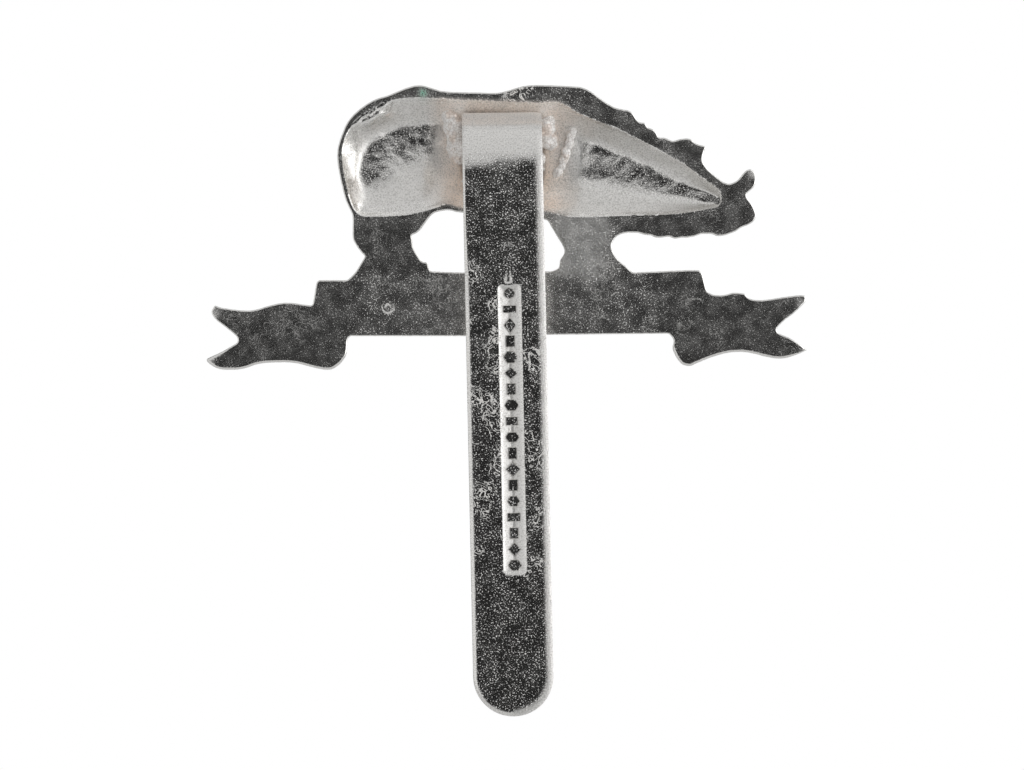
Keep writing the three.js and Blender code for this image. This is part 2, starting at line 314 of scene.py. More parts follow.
def nickel_finish(name, place_attribute=None):
    """Bright nickel plate. place_attribute names stored rest positions, for a strip that bends."""
    material, tree = new_material(name)
    if place_attribute:
        place = add(tree, "ShaderNodeAttribute", {}, attribute_name=place_attribute).outputs["Vector"]
    else:
        place = tree.nodes.new("ShaderNodeTexCoord").outputs["Object"]
    satin, heat, worms, verdigris, coarse = (mask(tree, title) for title in MASKS)

    # Specks and pits are the peaks and the troughs of one fine noise. In the colour the specks get a painted
    # highlight of white and the pits a painted shade of grey, both scaled by the coarse mask.
    fine = noise_at(tree, place, SPECKS_PER_METRE, detail=2.5, roughness=0.6)
    swells = noise_at(tree, place, SWELLS_PER_METRE)
    over = fine - swells.ramp(0.3, 0.7, 0.645, 0.600)
    specks_and_painted_glints = over.ramp(-0.012, 0.05) * coarse.ramp(0.0, 1.0, 0.08, 1.0)
    painted_pit_shade = fine.ramp(0.54, 0.36) * coarse.ramp(0.0, 1.0, 0.1, 0.5)

    # The flow lines follow the level where a slow noise crosses its middle, in patches.
    flow = noise_at(tree, place, FLOW_PER_METRE, detail=1.0, distortion=1.4)
    line = (flow - 0.5).maths("ABSOLUTE").ramp(0.030, 0.006)
    patches = (noise_at(tree, place, PATCHES_PER_METRE, detail=1.0) + worms * 0.06).ramp(0.56, 0.64)
    worm_line = line * patches * worms.maths("MINIMUM", 1.0)

    calm = satin.ramp(0.0, 1.0, 1.0, 0.6)
    relief = calm * coarse.ramp(0.0, 3.0, 0.4, 3.1)
    height = (fine + specks_and_painted_glints) * relief + worm_line + swells * 1.5
    bump = add(tree, "ShaderNodeBump", {"Strength": 1.0, "Distance": NICKEL_RELIEF, "Height": height})

    colour = mix_colour(tree, heat * swells.ramp(0.3, 0.7, 0.6, 1.0), NICKEL, HEAT_TINT)
    # Painted shade: the troughs of the fine grain are darkened in the colour.
    colour = mix_colour(tree, painted_pit_shade, colour, PAINTED_PIT_SHADE)
    # Painted highlight: the specks of the fine grain are whitened in the colour.
    colour = mix_colour(tree, specks_and_painted_glints * 0.8, colour, PAINTED_GLINT_WHITE)
    green = verdigris * fine.ramp(0.40, 0.52)
    colour = mix_colour(tree, green, colour, VERDIGRIS)
    tarnish = green.larger(heat * 0.6)
    # A speck or a flow line is a rough spot: it scatters the bright room where the polish mirrors the dark.
    dull = (specks_and_painted_glints * 0.50).larger(worm_line * 0.60)
    surface(tree, {
        "Base Color": colour,
        "Metallic": tarnish * -1.0 + 1.0,
        "Roughness": swells.ramp(0.35, 0.65, 0.13, 0.18) + dull * calm + satin * 0.30,
        "Normal": bump.outputs["Normal"],
    })
    return material


plate_nickel = nickel_finish("nickel on the struck plate")
slider_nickel = nickel_finish("nickel on the slider", "rest_place")
for finish in (plate_nickel, slider_nickel):
    print(f"{finish.name}: {len(finish.node_tree.nodes)} nodes")


# %% Braze metal
BRAZE_WHITE = (0.97, 0.95, 0.93, 1)
BRAZE_PINK = (0.90, 0.80, 0.73, 1)
CRACK_BROWN = (0.50, 0.41, 0.34, 1)


def braze_finish():
    """Torch-run braze under the plate: paler, pinkish, crackled and dull."""
    material, tree = new_material("crackled braze metal")
    place = tree.nodes.new("ShaderNodeTexCoord").outputs["Object"]
    lumps = noise_at(tree, place, 2600, detail=3, roughness=0.6)
    wires = {"Vector": place, "Scale": 3800.0}
    edges = add(tree, "ShaderNodeTexVoronoi", wires, feature="DISTANCE_TO_EDGE").outputs["Distance"]
    cells = Value(tree, edges)
    height = lumps + cells.ramp(0.0, 0.12) * 0.5
    bump = add(tree, "ShaderNodeBump", {"Strength": 1.0, "Distance": 0.00008, "Height": height})
    hue = noise_at(tree, place, 900).ramp(0.46, 0.68)
    colour = mix_colour(tree, hue, BRAZE_WHITE, BRAZE_PINK)
    colour = mix_colour(tree, cells.ramp(0.04, 0.0), colour, CRACK_BROWN)
    surface(tree, {
        "Base Color": colour,
        "Metallic": 0.10,
        "Roughness": lumps.ramp(0.35, 0.65, 0.34, 0.52),
        "Normal": bump.outputs["Normal"],
    })
    return material


braze_metal = braze_finish()
print(f"{braze_metal.name}: {len(braze_metal.node_tree.nodes)} nodes")

# %% [markdown]
# ## The plate's outline, taken from the frame
# The sheet was blanked out by a cutter, so its edge is one closed line, with a second one round the gap
# between the legs. Both, and the rim of the hollow, can be read off the CAD: they are the borders of the
# triangles that lie in the plane of the back. Drawing them again by hand would only add errors. The lines are
# divided finely, softened over the length of one step, and nibbled inwards a few hundredths of a millimetre,
# as a worn cutter leaves them.

# %% Read the three loops
STEP = 0.12


def cad_mesh(node):
    """A node's points in millimetres, shared ones merged, and its triangles."""
    mesh = frame["nodes"][node].data
    points = np.empty(len(mesh.vertices) * 3)
    mesh.vertices.foreach_get("co", points)
    shared, index = np.unique(np.round(points.reshape(-1, 3) / MM, 4), axis=0, return_inverse=True)
    corners = np.array([face.vertices[:] for face in mesh.polygons])
    return shared, index.reshape(-1)[corners]


def back_face_loops(node):
    """The closed borders, in x and z, of the triangles that lie in the plane y = 0."""
    points, triangles = cad_mesh(node)
    flat = triangles[np.all(np.abs(points[triangles][:, :, 1]) < 1e-3, axis=1)]
    edges = {(int(t[i]), int(t[i - 2])) for t in flat for i in range(3)}
    after = {a: b for a, b in sorted(edges) if (b, a) not in edges}
    loops = []
    while after:
        start, here = after.popitem()
        loop = [start]
        while here != start:
            loop.append(here)
            here = after.pop(here)
        loops.append(points[loop][:, [0, 2]])
    return loops


def area_of(loop):
    x, z = loop.T
    return 0.5 * np.sum(x * np.roll(z, -1) - np.roll(x, -1) * z)


def resample(loop, step):
    """The loop with even steps, running anticlockwise, its corners softened a little."""
    if area_of(loop) < 0:
        loop = loop[::-1]
    closed = np.vstack([loop, loop[:1]])
    length = np.concatenate([[0], np.cumsum(np.linalg.norm(np.diff(closed, axis=0), axis=1))])
    count = int(length[-1] / step)
    at = np.arange(count) * length[-1] / count
    even = np.stack([np.interp(at, length, closed[:, axis]) for axis in (0, 1)], 1)
    return 0.25 * np.roll(even, 1, 0) + 0.5 * even + 0.25 * np.roll(even, -1, 0)


def outward(loop):
    """The unit direction that points out of an anticlockwise loop at each of its points."""
    way = np.roll(loop, -1, 0) - np.roll(loop, 1, 0)
    normal = np.stack([way[:, 1], -way[:, 0]], 1)
    return normal / np.linalg.norm(normal, axis=1)[:, None]


by_size = sorted(back_face_loops("badge_plate"), key=lambda loop: abs(area_of(loop)))
leg_gap, hollow_rim, outline = (resample(loop, STEP) for loop in by_size)
NIBBLE = 0.03
outline -= outward(outline) * (NIBBLE * (1 + grain(*outline.T, 0.35, seed=3)) / 2)[:, None]
leg_gap += outward(leg_gap) * (NIBBLE * (1 + grain(*leg_gap.T, 0.35, seed=4)) / 2)[:, None]
for title, loop in (("outline", outline), ("gap", leg_gap), ("rim", hollow_rim)):
    print(f"{title}: {len(loop)} points, {abs(area_of(loop)):.1f} mm2")

# %% [markdown]
# ## A net of triangles for the relief
# A struck badge is a height field twice over: one relief on the front, one on the back, on the same outline.
# A subdivided plane would give the outline stair-steps. A constrained triangulation takes the true lines as
# edges instead, and the points in between can be as dense as the relief needs: a honeycomb of points inside,
# and a few rows that follow the edges closely, because that is where the metal turns over.

# %% Triangulate the outline
SPACING = 0.142
EDGE_ROWS = (0.045, 0.11, 0.19)
RIM_ROWS = (-0.16, -0.07, 0.07, 0.16)


def honeycomb(low, high, spacing):
    rows = np.arange(low[1], high[1], spacing * math.sqrt(3) / 2)
    columns = np.arange(low[0], high[0], spacing)
    return np.array([(x + spacing / 2 * (i % 2), z) for i, z in enumerate(rows) for x in columns])


def beside(loop, distance):
    """A row of points beside a loop: inwards for a positive distance."""
    return loop - outward(loop) * distance


def in_metal(points, clear):
    """Points inside the outline and outside the gap, at least this far from both."""
    kept = points[inside(points, outline) & ~inside(points, leg_gap)]
    edge = np.minimum(distance_to_loop(kept, outline), distance_to_loop(kept, leg_gap))
    return kept[edge > clear]


rows = [beside(outline, d) for d in EDGE_ROWS] + [beside(leg_gap, -d) for d in EDGE_ROWS]
rows = in_metal(np.vstack(rows), EDGE_ROWS[0] * 0.9)
rim_rows = np.vstack([hollow_rim] + [beside(hollow_rim, d) for d in RIM_ROWS])
rim_rows = in_metal(rim_rows, EDGE_ROWS[-1] * 1.2)
net = in_metal(honeycomb(outline.min(0), outline.max(0), SPACING), EDGE_ROWS[-1] * 1.3)
net = net[distance_to_loop(net, hollow_rim) > RIM_ROWS[-1] * 1.2]
flat_points = np.vstack([outline, leg_gap, rows, rim_rows, net])

first_gap = len(outline)
first_row = first_gap + len(leg_gap)
borders = [(i, (i + 1) % first_gap) for i in range(first_gap)]
borders += [(first_gap + i, first_gap + (i + 1) % len(leg_gap)) for i in range(len(leg_gap))]
made = delaunay_2d_cdt([Vector(p) for p in flat_points], borders, [], 0, 1e-6)
drawing = np.array([tuple(p) for p in made[0]])
triangles = np.array([face for face in made[2] if len(face) == 3])
middles = drawing[triangles].mean(1)
triangles = triangles[inside(middles, outline) & ~inside(middles, leg_gap)]
a, b, c = (drawing[triangles[:, i]] for i in range(3))
turn = (b[:, 0] - a[:, 0]) * (c[:, 1] - a[:, 1]) - (b[:, 1] - a[:, 1]) * (c[:, 0] - a[:, 0])
triangles[turn < 0] = triangles[turn < 0][:, ::-1]
print(f"net: {len(drawing)} points, {len(triangles)} triangles")

# %% [markdown]
# ## The back: a flat face and a deep hollow
# Striking pushed the animal's body forward and left a hollow behind it, with steep walls round a nearly flat
# floor. The floor follows a valley line, and its depth and its width to either side are given at a few places
# along that line, because it narrows towards the head. At a point of the wall, the distances to the rim and
# to the floor give how far down it lies. Braze that ran out beside the slider's foot then fills part of the
# floor, and a few rounds of averaging soften the creases, as polishing does.

# %% Distances that the relief is built on
X, Z = drawing.T
to_edge = np.minimum(distance_to_loop(drawing, outline), distance_to_loop(drawing, leg_gap))
to_rim = distance_to_loop(drawing, hollow_rim) * np.where(inside(drawing, hollow_rim), 1, -1)

# The valley line: x, z, the depth there, and how wide its floor is outwards and towards the lower rim.
VALLEY = [
    (11.2, 10.4, 1.27, 0.78, 0.90), (10.7, 11.7, 1.31, 0.82, 1.20), (9.7, 12.8, 1.37, 0.80, 1.25),
    (8.0, 13.4, 1.50, 0.75, 1.00), (6.0, 13.6, 1.64, 0.90, 1.10), (3.6, 13.0, 2.40, 1.20, 1.30),
    (0.0, 12.2, 2.55, 1.40, 1.40), (-4.0, 12.1, 2.45, 1.30, 1.30), (-6.7, 11.8, 1.66, 1.35, 1.35),
    (-9.0, 11.1, 1.50, 1.10, 1.15), (-11.0, 10.45, 1.36, 0.90, 0.95), (-14.5, 9.15, 1.16, 0.58, 0.58),
    (-17.1, 8.35, 1.02, 0.34, 0.30),
]
OUTER_POWER = 1.35
LOWER_POWER = 2.0
valley = np.array(VALLEY)
valley_curve = smooth_curve(valley[:, :2])
to_valley, valley_share = along_curve(X, Z, valley_curve)


def on_valley(values):
    """Values given at the valley's stations, read at each point's nearest place on it."""
    return np.interp(valley_share, np.linspace(0, 1, len(values)), values)


valley_x, valley_z, valley_depth, outer_half, lower_half = (on_valley(column) for column in valley.T)
flow_x, flow_z = (on_valley(np.gradient(valley[:, column])) for column in (0, 1))
off_valley = (flow_x * (Z - valley_z) - flow_z * (X - valley_x)) / np.hypot(flow_x, flow_z)
lower_side = smooth(-0.5, 0.5, off_valley)
floor_half = outer_half * (1 - lower_side) + lower_half * lower_side
floor_half = floor_half * (1 + 0.25 * grain(X, Z, 0.9, seed=3))
wall_power = OUTER_POWER + (LOWER_POWER - OUTER_POWER) * lower_side
print(f"valley: {valley_depth.max():.2f} mm deep at most, its floor {floor_half.mean() * 2:.1f} mm wide")


def sunk(extra_width, depth):
    """Depth below the rim's plane of a hollow whose rim lies extra_width outside the drawn one."""
    from_rim = np.maximum(to_rim + extra_width, 0)
    to_floor = np.maximum(to_valley - floor_half, 0)
    down = from_rim / np.maximum(from_rim + to_floor, 1e-6)
    return depth * (1 - (1 - down) ** wall_power)


# %% The back's height
BACK_ROUND = 0.05
RIBBON_ROUND = 0.20
PUDDLE_LEVEL = 1.68
POLISH_REACH = 0.05
hollow = to_rim > 0
on_ribbon = smooth(12.3, 13.4, np.abs(X)) * smooth(1.2, 0.6, Z)
lower_ribbon = on_ribbon * smooth(-3.0, -3.7, Z + 0.25 * np.maximum(np.abs(X) - 21, 0))
edge_round = BACK_ROUND + (RIBBON_ROUND - BACK_ROUND) * lower_ribbon
depth_behind = sunk(0, valley_depth)

# Torch-run metal raises the hollow's floor beside the slider's foot in a smooth fillet.
beside_foot = np.abs(X - BEND_CENTRE[0] - np.sin(TILT) * (Z - BEND_CENTRE[2])) - STRIP_HALF
puddle = smooth(4.3, 2.3, beside_foot) * smooth(-0.3, 0.2, beside_foot)
depth_behind = depth_behind - puddle * np.maximum(depth_behind - PUDDLE_LEVEL, 0)
lip = smooth(1.6, 0.0, beside_foot) * smooth(14.2, 14.9, Z)
lip_depth = 0.42 * to_rim + 2.6 * smooth(1.1, 2.4, to_rim)
depth_behind = np.where(hollow, depth_behind + lip * (np.minimum(depth_behind, lip_depth) - depth_behind), 0)

# High on the rump's wall the tool chattered and left a narrow wrinkled ledge along the rim.
ripple_patch = smooth(8.6, 9.8, X) * smooth(12.9, 12.2, X) * smooth(13.9, 14.6, Z)
ripple_patch *= smooth(1.35, 0.95, to_rim)
depth_behind *= 1 - 0.88 * ripple_patch

# Polishing softens creases: each height moves towards the average of its neighbours, but not at the rim.
pairs = ((0, 1), (1, 2), (2, 0), (1, 0), (2, 1), (0, 2))
links = np.vstack([triangles[:, pair] for pair in pairs])
link_count = np.bincount(links[:, 0], minlength=len(drawing))
for _ in range(round(POLISH_REACH / SPACING**2 * 4)):
    average = np.bincount(links[:, 0], depth_behind[links[:, 1]], len(drawing)) / np.maximum(link_count, 1)
    depth_behind += smooth(0.25, 0.7, to_rim) * smooth(-16.2, -13.0, X) * (average - depth_behind)
wall = smooth(0.0, 0.4, depth_behind) * smooth(1.0, 0.90, depth_behind / np.maximum(valley_depth, 0.1))

# Ripples where the tool chattered: diagonal ones on the ledge, fine ones along the lower rim.
ripples = np.sin(to_rim * 10 + 3.0 * grain(X, Z, 1.1, seed=7)) * ripple_patch * smooth(0.05, 0.3, to_rim)
streak_patch = smooth(4.5, 6.5, X) * smooth(13.0, 11.8, X) * smooth(9.0, 7.6, Z)
streak_patch *= smooth(1.0, 0.6, to_rim)
streaks = np.sin(to_rim * 14 + 1.5 * grain(X, Z, 2.0, seed=8)) * streak_patch * smooth(0.02, 0.15, to_rim)
unevenness = grain(X, Z, 1.3, seed=5)

back = np.where(hollow, -depth_behind, 0.0)
back += np.where(hollow, 0.035 * ripples + 0.02 * streaks + 0.04 * unevenness * smooth(0.1, 0.8, to_rim), 0)
back -= np.where(hollow, 0, 0.006 * (1 + unevenness))
back -= edge_drop(to_edge, edge_round, edge_round)


def dent(x, z, radius, width, depth):
    """A ring-shaped pit."""
    away = np.hypot(X - x, Z - z) - radius
    return depth * np.exp(-((away / width) ** 2))


back -= dent(9.36, -0.16, 0.36, 0.09, 0.05)
back -= dent(-15.3, -0.1, 0.75, 0.07, 0.03) * smooth(0.0, 0.5, Z)
back = np.minimum(back, 0)
print(f"back: {-back.min():.2f} mm deep at its lowest point")

# %% [markdown]
# ## The front: an animal on a blank scroll
# The face of the badge is the same trick with more layers. Each part of the animal is a simple rounded form:
# a dome over the hollow, capsules for the legs and the head, leaf shapes for the ears. Taking the larger of
# two forms joins them as a modeller would with clay, and grooves are cut afterwards along a few drawn curves.
# The scroll carries no words: it has a raised border and a pebbled field.

# %% Forms that the animal is built from
PLATE = 0.9
PROUD = -cad_low[1] / MM - 0.04


def capsule(start, end, start_radius, end_radius):
    """1 along the middle line of a round-ended bar that may taper, 0 at its edge, negative outside."""
    away, share = along_curve(X, Z, np.array([start, end], float))
    radius = start_radius + (end_radius - start_radius) * share
    return 1 - away / radius


def rounded(form, height, base=0.0):
    """The height of a form with a round section."""
    inside_form = np.clip(form, 0, 1)
    return base + height * np.sqrt(1 - (1 - inside_form) ** 2)


def larger(first, second, blend=0.15):
    """The larger of two heights, with a soft corner where they cross."""
    mixed = np.clip(0.5 + 0.5 * (first - second) / blend, 0, 1)
    return second + (first - second) * mixed + blend * mixed * (1 - mixed)


def groove(points, width, depth):
    """A cut along a smooth curve, tapering out at both ends."""
    away, share = along_curve(X, Z, smooth_curve(points))
    taper = smooth(0, 0.18, share) * smooth(1, 0.82, share)
    return depth * taper * np.exp(-((away / width) ** 2))


dome = sunk(0.8, valley_depth + 0.62)
haunch = rounded(capsule((9.6, 12.0), (9.2, 8.6), 3.5, 2.7), 0.34)
shoulder = rounded(capsule((-4.2, 12.8), (-5.8, 8.0), 3.3, 2.4), 0.34)
ribs = 0.05 * np.sin((X - 1) * 3.2 + 0.4 * (Z - 12)) * smooth(4.6, 2.4, np.abs(X - 2.6)) * smooth(8.0, 9.5, Z)
body = dome + haunch + shoulder + ribs * smooth(16.2, 15.0, Z)
head = rounded(capsule((-11.6, 10.2), (-18.4, 7.5), 3.6, 1.9), 1.55, 0.75)
hind_leg = rounded(capsule((10.0, 8.2), (9.7, 3.0), 2.9, 2.35), 1.15, 0.7)
fore_leg = rounded(capsule((-6.7, 7.6), (-6.7, 3.2), 2.3, 2.1), 1.15, 0.7)
animal = larger(larger(body, head, 0.3), larger(hind_leg, fore_leg), 0.3)

horn = rounded(capsule((-18.4, 8.2), (-19.9, 10.9), 1.0, 0.34), 0.95, 0.75)
far_ear = rounded(capsule((-14.0, 12.2), (-14.4, 13.4), 0.75, 0.35), 0.6, 0.85)
near_ear = rounded(capsule((-15.0, 11.0), (-15.8, 12.8), 0.85, 0.4), 0.55, 1.5)
animal = larger(larger(animal, horn, 0.1), larger(far_ear, near_ear, 0.08), 0.1)
TAIL = [(12.4, 14.2), (12.9, 12.0), (12.6, 9.4), (12.0, 7.2)]
TAIL_RADIUS = 0.42
animal += rounded(1 - along_curve(X, Z, smooth_curve(TAIL))[0] / TAIL_RADIUS, 0.5)
print(f"animal: {animal.max():.2f} mm high before the cuts")

# %% Grooves, eye, mouth and toes
def pebble_distance(scale, layer):
    """Distance to the nearest of many scattered points: 0 at each one."""
    return np.array([noise.voronoi(Vector((x * scale, z * scale, layer)))[0][0] for x, z in zip(X, Z)])


FOLDS = [
    ([(-0.4, 16.8), (-1.2, 13.5), (-1.1, 10.5), (-2.4, 7.8)], 0.24, 0.32),
    ([(6.0, 16.9), (5.4, 13.6), (5.7, 10.8), (6.9, 8.0)], 0.24, 0.32),
    ([(-7.6, 16.0), (-8.7, 13.0), (-8.4, 10.0), (-8.9, 6.4)], 0.24, 0.34),
    ([(-9.9, 15.2), (-11.1, 12.4), (-10.9, 9.4), (-11.4, 6.2)], 0.20, 0.30),
    ([(-11.9, 13.8), (-12.9, 11.6), (-12.6, 9.2), (-13.2, 6.6)], 0.18, 0.24),
    ([(8.2, 7.0), (9.8, 6.4), (11.6, 6.8)], 0.16, 0.16),
    ([(-8.4, 5.9), (-6.8, 5.4), (-5.0, 6.0)], 0.16, 0.16),
    ([(-20.1, 6.9), (-18.6, 6.75), (-17.0, 7.0), (-15.9, 7.7)], 0.10, 0.22),
    ([(-14.9, 11.2), (-15.3, 11.9), (-15.6, 12.5)], 0.14, 0.22),
]
for points, width, depth in FOLDS:
    animal -= groove(points, width, depth)
eye = np.hypot((X + 15.2) / 1.25, Z - 9.35)
animal += 0.20 * np.exp(-((eye / 0.26) ** 2)) - 0.20 * np.exp(-(((eye - 0.46) / 0.11) ** 2))
animal += 0.12 * np.exp(-(((eye - 0.68) / 0.12) ** 2))
nostril = np.hypot((X + 19.1) / 1.3, Z - 7.9)
animal -= 0.25 * np.exp(-((nostril / 0.2) ** 2))
for toe in (-8.0, -6.8, -5.7, 8.4, 9.7, 11.0):
    nail = np.hypot((X - toe) / 0.62, (Z - 3.1) / 0.75)
    animal += 0.22 * np.sqrt(np.clip(1 - nail**2, 0, 1))
cells = pebble_distance(1.5, 0.3)
print(f"hide: grain cells up to {cells.max():.2f} from their centres")
hide = smooth(2.4, 3.4, Z) * smooth(0.25, 0.9, to_edge)
animal += 0.085 * (0.5 - np.clip(cells * 1.1, 0, 1)) * hide + 0.03 * grain(X, Z, 0.5, seed=11) * hide

# %% Scroll and ribbon ends
SCROLL_LOW = (-15.5, -2.4)
SCROLL_HIGH = (15.0, 2.75)
BORDER = 0.55
from_side = np.minimum(X - SCROLL_LOW[0], SCROLL_HIGH[0] - X)
from_top = np.minimum(Z - SCROLL_LOW[1], SCROLL_HIGH[1] - Z)
in_scroll = np.minimum(from_side, from_top)
pebbles = 0.05 * np.clip(1 - 2.0 * pebble_distance(2.2, 5.0), -0.6, 1)
scroll = PLATE - smooth(BORDER, BORDER + 0.22, in_scroll) * (0.26 - pebbles)
hem = 0.10 * smooth(0.60, 0.42, to_edge) * smooth(0.2, 0.34, to_edge)
ribbon = 0.66 + 0.10 * np.sin(np.abs(X) * 1.25 + 0.6) - hem
low = np.where(in_scroll > 0, scroll, ribbon + 0.22 * smooth(-0.5, 0, in_scroll) * smooth(1, 0, Z))
standing = Z > SCROLL_HIGH[1] - 0.3
legs_only = larger(hind_leg, fore_leg)
front = np.where(standing, larger(animal, PLATE * np.ones_like(X), 0.12), low)
overlap = smooth(0.72, 0.80, legs_only) * smooth(1.9, 2.4, Z)
front = np.where(standing, front, np.maximum(low, low + (legs_only - PLATE) * overlap))

FRONT_ROUND = 0.34
front -= edge_drop(to_edge, FRONT_ROUND, FRONT_ROUND)
front = np.maximum(front, -back + 0.42)
front = np.minimum(front, PROUD)
print(f"front stands {front.min():.2f} to {front.max():.2f} mm proud of the back")

# %% [markdown]
# ## The plate as one closed shell
# Front and back share the drawing, so the shell is closed by joining each border point of the back to the
# same border point of the front. The thin tips of the ribbon and of the horn are bent a little forward, as
# they are on a badge that has been worn, so both faces move there together.

# %% Build the struck plate
TIPS = [(23.5, -0.3), (24.0, -4.4), (-24.1, 0.4), (-24.3, -3.7), (-20.2, 10.9)]
bent = np.zeros(len(drawing))
for x_tip, z_tip in TIPS:
    bent += 0.07 * smooth(1.1, 0.0, np.hypot(X - x_tip, Z - z_tip))

count = len(drawing)
back_points = np.stack([X, back - bent, Z], 1)
front_points = np.stack([X, -front - bent, Z], 1)
faces = [(int(i), int(k), int(j)) for i, j, k in triangles]
faces += [(int(i) + count, int(j) + count, int(k) + count) for i, j, k in triangles]
for first, last, flip in ((0, first_gap, False), (first_gap, first_row, True)):
    for i in range(first, last):
        j = i + 1 if i + 1 < last else first
        wall_face = (i, j, j + count, i + count)
        faces.append(wall_face[::-1] if flip else wall_face)
plate = make_piece("struck_plate", np.vstack([back_points, front_points]), faces, plate_nickel)

# %% The plate's masks
bright_end = smooth(11.2, 12.0, X) * smooth(8.6, 9.6, Z)
wall_rub = 0.8 * smooth(0.0, 0.35, to_rim) * wall * (1 - np.maximum(ripple_patch, streak_patch))
wall_rub *= 1 - 0.8 * bright_end
foot_rub = 0.85 * smooth(2.2, 0.3, beside_foot) * smooth(7.2, 8.8, Z)
fore_leg_dull = smooth(2.8, 4.6, -X) * smooth(10.4, 6.6, -X) * smooth(1.4, 3.2, Z) * smooth(8.5, 7.5, Z)
flat_rub = 0.12 + 0.12 * np.exp(-((X / 9.5) ** 4)) * smooth(3.0, 2.0, Z) + 0.42 * fore_leg_dull
satin = np.maximum(np.maximum(wall_rub, foot_rub * hollow), flat_rub * ~hollow)
warm = smooth(3.2, 0.2, beside_foot) * smooth(7.0, 8.0, Z) * smooth(-0.3, 0.1, to_rim) * (1 - 0.45 * lip)
green = np.exp(-(((X - 6.56) ** 2 + (Z - 16.96) ** 2) / 0.36**2))
top_rim = smooth(15.8, 16.4, Z) * smooth(1.5, 0.0, X) * smooth(-9.0, -7.0, X)
worms = (1.5 * top_rim + 0.15) * ~hollow
flat_grain = 0.30 + 0.2 * smooth(3.2, 2.4, Z) * smooth(14.0, 11.0, np.abs(X)) + 0.8 * fore_leg_dull
coarse = np.where(hollow, 1.35, flat_grain + 0.15 * top_rim)

for name, on_back, on_front in (
    ("satin", satin, 0.25), ("warm_tint", warm, 0.0), ("worms", worms, 0.0),
    ("verdigris", green, 0.0), ("coarse", coarse, 0.3),
):
    store(plate, name, np.concatenate([on_back, np.full(count, on_front)]))
    print(f"plate, {name}: {np.mean(on_back):.2f} on average over the back")
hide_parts("badge_plate")
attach(plate, "badge")

# %% [markdown]
# ## The slider
# The slider is one brass strip, folded like a hairpin and brazed by its short foot. It is flat work bent in
# one direction, so it is drawn flat, as a strip with a round end, and then each point is carried round the
# bend. A bend modifier would do the same, but carrying the points in code keeps the thickness exact. One long
# edge is only broken, and the other is worn to a wide bevel. The panel is pressed in beside the middle line.

# %% Carry a flat strip round the bend
PANEL_HALF = 0.93
PANEL_SIDE = -0.32
PANEL_CORNER = 0.4
PANEL_TOP = BLADE_LENGTH - 10.1
PANEL_LOW = BLADE_LENGTH - 33.1
PANEL_DEPTH = 0.22
PANEL_SLOPE = 0.85
STRIP_LENGTH = BLADE_LENGTH + BEND_LENGTH + FOOT_LENGTH
print(f"strip: {STRIP_LENGTH:.1f} mm long laid flat, panel {PANEL_TOP - PANEL_LOW:.1f} mm long")


def carry(across, along, lift):
    """From the flat strip to its place. along runs up the blade from its round end and over the bend."""
    radius = BEND_RADIUS + lift
    angle = np.clip((along - BLADE_LENGTH) / MIDDLE_RADIUS, 0, math.pi)
    below_blade = np.minimum(along - BLADE_LENGTH, 0)
    below_foot = np.maximum(along - BLADE_LENGTH - BEND_LENGTH, 0)
    y = radius * np.cos(angle)
    z = radius * np.sin(angle) + below_blade - below_foot
    return np.stack([
        BEND_CENTRE[0] + across * math.cos(TILT) + z * math.sin(TILT),
        BEND_CENTRE[1] + y,
        BEND_CENTRE[2] - across * math.sin(TILT) + z * math.cos(TILT),
    ], -1)


def strip_inset(across, along):
    """Distance inwards from the strip's outline."""
    end = STRIP_HALF - np.hypot(across, np.minimum(along - STRIP_HALF, 0))
    sides = np.where(along < STRIP_HALF, end, STRIP_HALF - np.abs(across))
    return np.maximum(np.minimum(sides, STRIP_LENGTH - along), 0)


def panel_inset(across, along):
    """Distance inwards from the sunk panel's round-cornered outline, negative outside it."""
    half_length = (PANEL_TOP - PANEL_LOW) / 2
    past_side = np.abs(across - PANEL_SIDE) - (PANEL_HALF - PANEL_CORNER)
    past_end = np.abs(along - (PANEL_TOP + PANEL_LOW) / 2) - (half_length - PANEL_CORNER)
    outside_corner = np.hypot(np.maximum(past_side, 0), np.maximum(past_end, 0))
    return PANEL_CORNER - outside_corner - np.minimum(np.maximum(past_side, past_end), 0)


# %% Build the slider
THIN_EDGE = (0.20, 0.20)
WIDE_EDGE = (0.62, 0.10)
INNER_EDGE = (0.22, 0.20)
columns = np.unique(np.round(np.concatenate([
    np.linspace(-STRIP_HALF, STRIP_HALF, 49),
    STRIP_HALF - np.array([0.03, 0.07, 0.17]),
    -STRIP_HALF + np.array([0.03, 0.07, 0.17]),
    PANEL_SIDE + np.linspace(-PANEL_HALF, PANEL_HALF, 25),
]), 3))
columns = columns[np.concatenate([[True], np.diff(columns) > 0.02])]
columns[-1] = STRIP_HALF
stations = np.concatenate([
    STRIP_HALF * (1 - np.cos(np.linspace(0, math.pi / 2, 27)))[:-1],
    np.arange(STRIP_HALF, PANEL_LOW - 0.2, 0.2),
    np.arange(PANEL_LOW - 0.15, PANEL_TOP + 0.2, 0.115),
    np.arange(PANEL_TOP + 0.25, STRIP_LENGTH - 0.3, 0.18),
    STRIP_LENGTH - np.array([0.2, 0.12, 0.05, 0.0]),
])
ALONG, ACROSS = np.meshgrid(stations, columns, indexing="ij")
round_end = np.sqrt(np.maximum(STRIP_HALF**2 - (STRIP_HALF - ALONG) ** 2, 0))
half_width = np.where(ALONG < STRIP_HALF, round_end, STRIP_HALF)
ACROSS = ACROSS * half_width / STRIP_HALF
inset = strip_inset(ACROSS, ALONG)
worn_side = smooth(0.6, -0.6, ACROSS)
thin_width = THIN_EDGE[0] + 0.22 * smooth(BLADE_LENGTH - 5.0, BLADE_LENGTH - 11.0, ALONG)
edge_width = thin_width + (WIDE_EDGE[0] - thin_width) * worn_side
